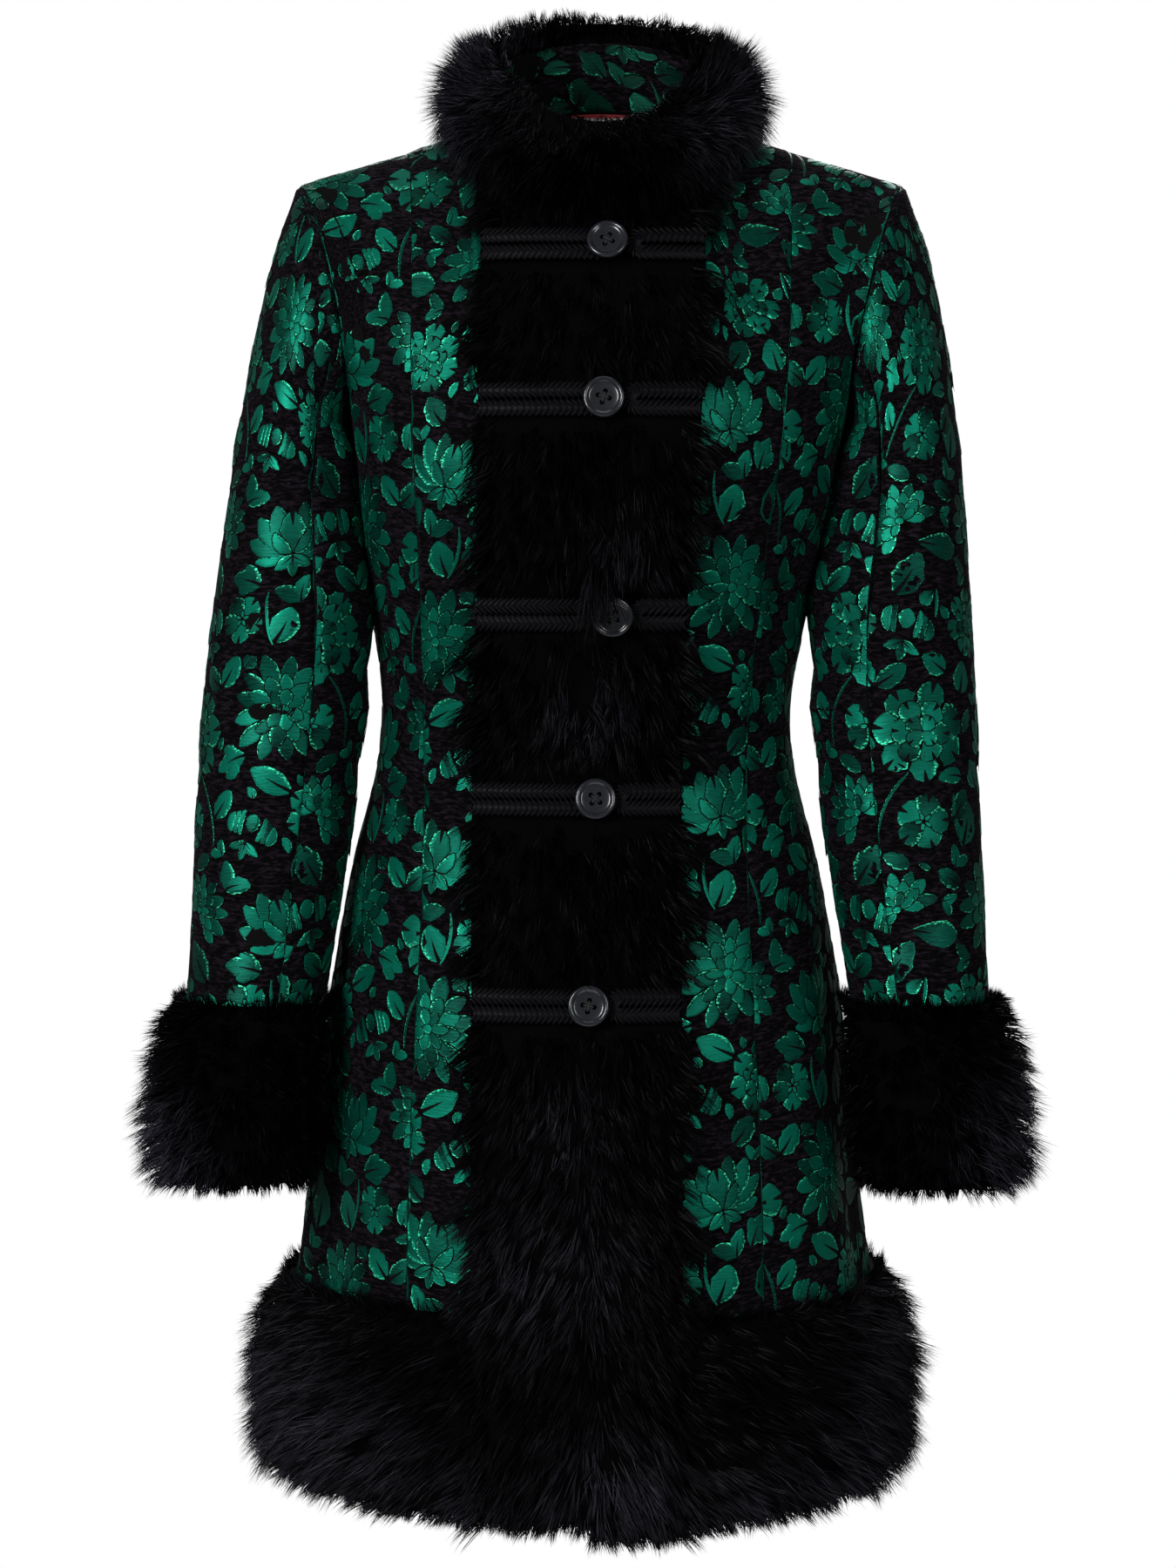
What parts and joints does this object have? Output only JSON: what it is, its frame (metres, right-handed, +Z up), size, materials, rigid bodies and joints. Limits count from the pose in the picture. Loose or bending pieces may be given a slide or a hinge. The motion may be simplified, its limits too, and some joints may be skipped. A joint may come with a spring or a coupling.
{
  "type": "fur-trimmed coat",
  "caption": "Hollow A-line coat in its worn shape: green floral brocade panels and set-in sleeves, with black fur stand collar, front bands, hem and cuffs, and button and braid frog fastenings.",
  "frame": {"origin": "middle of the neck at the height of the side neck points, where the wearer's shoulders carry the coat", "axes": "+Z up along the coat's length, +X to the wearer's left, -Y out of the front"},
  "size_m": [0.562, 0.3641, 0.9372],
  "materials": {
    "brocade": "emerald satin leaves on a black ribbed ground",
    "black_fur": "long soft pile",
    "gimp_braid": "plaited braid with a low sheen",
    "button_slate": "polished slate grey",
    "label_ribbon": "woven ribbon"
  },
  "bodies": {
    "root": {"front_right_centre": "brocade", "front_left_centre": "brocade", "front_right_side": "brocade", "front_left_side": "brocade", "back_right": "brocade", "back_left": "brocade", "sleeve_right_upper": "brocade", "sleeve_right_under": "brocade", "sleeve_left_upper": "brocade", "sleeve_left_under": "brocade", "collar_facing": "brocade", "collar_fur": "black_fur", "front_fur_right": "black_fur", "front_fur_left": "black_fur", "hem_fur": "black_fur", "cuff_fur_right": "black_fur", "cuff_fur_left": "black_fur", "frog_loop_1": "gimp_braid", "frog_loop_2": "gimp_braid", "frog_loop_3": "gimp_braid", "frog_loop_4": "gimp_braid", "frog_loop_5": "gimp_braid", "frog_tab_1": "gimp_braid", "frog_tab_2": "gimp_braid", "frog_tab_3": "gimp_braid", "frog_tab_4": "gimp_braid", "frog_tab_5": "gimp_braid", "button_1": "button_slate", "button_2": "button_slate", "button_3": "button_slate", "button_4": "button_slate", "button_5": "button_slate", "neck_label": "label_ribbon"}
  },
  "joints": []
}
